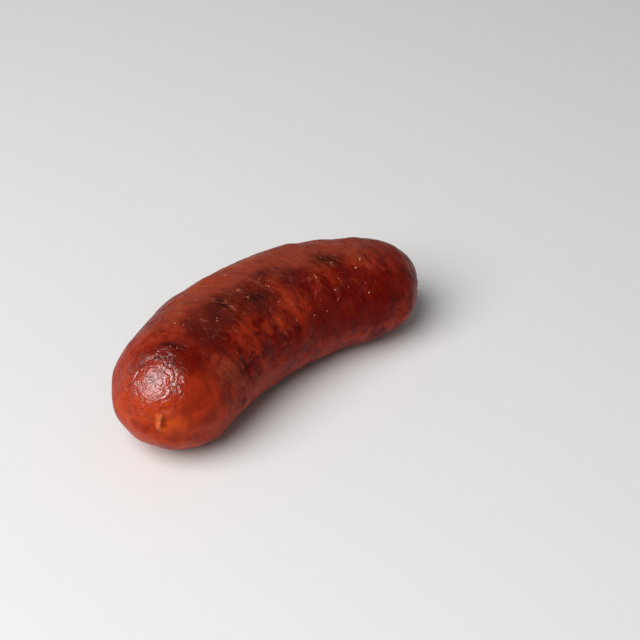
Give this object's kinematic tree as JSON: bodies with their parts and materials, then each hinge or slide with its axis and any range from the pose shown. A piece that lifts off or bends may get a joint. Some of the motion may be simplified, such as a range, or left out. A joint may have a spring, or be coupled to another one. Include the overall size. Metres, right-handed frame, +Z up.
{
  "type": "browned sausage link",
  "caption": "Whole browned sausage link: a plump crescent in a wrinkled glossy casing, blunt at one end, tapered at the other, gathered to a pucker at each tip.",
  "frame": {"origin": "on the resting plane, under the middle of the link's outline box", "axes": "+X along the chord from the blunt end to the tapered end, +Y towards the outer side of the bend, +Z up"},
  "size_m": [0.1082, 0.0438, 0.0363],
  "materials": {
    "casing": "oily browned natural casing over coarse red meat, wrinkled, with charred patches along the top"
  },
  "bodies": {
    "root": {"sausage_link": "casing"}
  },
  "joints": []
}
